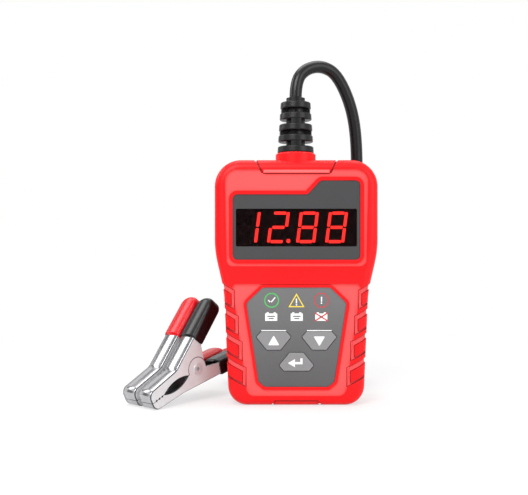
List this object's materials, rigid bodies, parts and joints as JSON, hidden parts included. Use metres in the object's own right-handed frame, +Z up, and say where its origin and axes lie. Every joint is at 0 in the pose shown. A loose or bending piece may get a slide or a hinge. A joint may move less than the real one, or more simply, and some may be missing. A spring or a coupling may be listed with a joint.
{
  "type": "battery tester",
  "caption": "Handheld battery tester: moulded case with an LED display and a keypad, a cable from a ribbed strain relief, and sprung crocodile clips on its leads.",
  "frame": {"origin": "bottom centre of the tester, where it stands on its lower edge", "axes": "+Z up along the tester, +Y to its back, +X to the right of the keypad"},
  "size_m": [0.1249, 0.1191, 0.1736],
  "materials": {
    "red_case": "satin moulded red plastic",
    "red_case_rear": "satin moulded red plastic",
    "clear_lens": "clear",
    "grey_film": "printed dark grey",
    "display_dark": "dark",
    "lit_red": "lit",
    "unlit_red": "unlit",
    "grey_overlay": "satin grey",
    "grey_keys": "satin light grey",
    "black_plastic": "matte black",
    "board_green": "solder mask",
    "white_ceramic": "ceramic",
    "cream_plastic": "natural nylon",
    "can_aluminium": "sleeved can",
    "screw_steel": "zinc plated",
    "black_rubber": "moulded rubber",
    "black_jacket": "flexible jacket",
    "red_jacket": "flexible jacket",
    "nickel_steel": "bright nickel plate",
    "spring_steel": "spring wire",
    "tinned_copper": "tinned",
    "red_sleeve": "glossy soft vinyl",
    "black_sleeve": "glossy soft vinyl"
  },
  "bodies": {
    "tester": {"black_clip_lead_lug": "tinned_copper", "black_clip_lower_arm": "nickel_steel", "black_clip_lower_sleeve": "black_sleeve", "black_clip_pivot_rivet": "nickel_steel", "black_clip_spring": "spring_steel", "black_lead": "black_jacket", "board_screws": "screw_steel", "cable_coil": "black_jacket", "cable_tail": "black_jacket", "capacitor": "can_aluminium", "case_screws": "screw_steel", "coil_tie": "black_plastic", "controller_chip": "black_plastic", "dark_segments": "unlit_red", "display_film": "grey_film", "display_lens": "clear_lens", "front_shell": "red_case", "inner_wire_black": "black_jacket", "inner_wire_red": "red_jacket", "keypad_overlay": "grey_overlay", "lamp_leds": "cream_plastic", "lead_split": "black_rubber", "led_display": "display_dark", "lit_segments": "lit_red", "load_resistors": "white_ceramic", "main_board": "board_green", "main_cable": "black_jacket", "rear_shell": "red_case_rear", "red_clip_lead_lug": "tinned_copper", "red_clip_lower_arm": "nickel_steel", "red_clip_lower_sleeve": "red_sleeve", "red_clip_pivot_rivet": "nickel_steel", "red_clip_spring": "spring_steel", "red_lead": "red_jacket", "strain_relief": "black_rubber", "tact_switches": "black_plastic", "wire_header": "cream_plastic"},
    "up_button": {"up_key": "grey_keys", "up_plunger": "black_plastic"},
    "down_button": {"down_key": "grey_keys", "down_plunger": "black_plastic"},
    "enter_button": {"enter_key": "grey_keys", "enter_plunger": "black_plastic"},
    "black_jaw": {"black_clip_upper_arm": "nickel_steel", "black_clip_upper_sleeve": "black_sleeve"},
    "red_jaw": {"red_clip_upper_arm": "nickel_steel", "red_clip_upper_sleeve": "red_sleeve"}
  },
  "joints": [
    {"name": "up_press", "type": "slide", "parent": "tester", "child": "up_button", "axis": [0, 1, 0], "range_m": [0, 0.0005], "stiffness_N_per_m": 400},
    {"name": "down_press", "type": "slide", "parent": "tester", "child": "down_button", "axis": [0, 1, 0], "range_m": [0, 0.0005], "stiffness_N_per_m": 400},
    {"name": "enter_press", "type": "slide", "parent": "tester", "child": "enter_button", "axis": [0, 1, 0], "range_m": [0, 0.0005], "stiffness_N_per_m": 400},
    {"name": "black_clip_hinge", "type": "hinge", "parent": "tester", "child": "black_jaw", "pos_m": [-0.05261, 0.00079, 0.01668], "axis": [-0.7314, 0.682, 0], "range_deg": [0, 32], "stiffness_Nm_per_rad": 0.3, "springref_deg": -20.05, "deforming": ["black_clip_spring"]},
    {"name": "red_clip_hinge", "type": "hinge", "parent": "tester", "child": "red_jaw", "pos_m": [-0.06139, 0.00898, 0.01668], "axis": [-0.7314, 0.682, 0], "range_deg": [0, 32], "stiffness_Nm_per_rad": 0.3, "springref_deg": -20.05, "deforming": ["red_clip_spring"]}
  ]
}
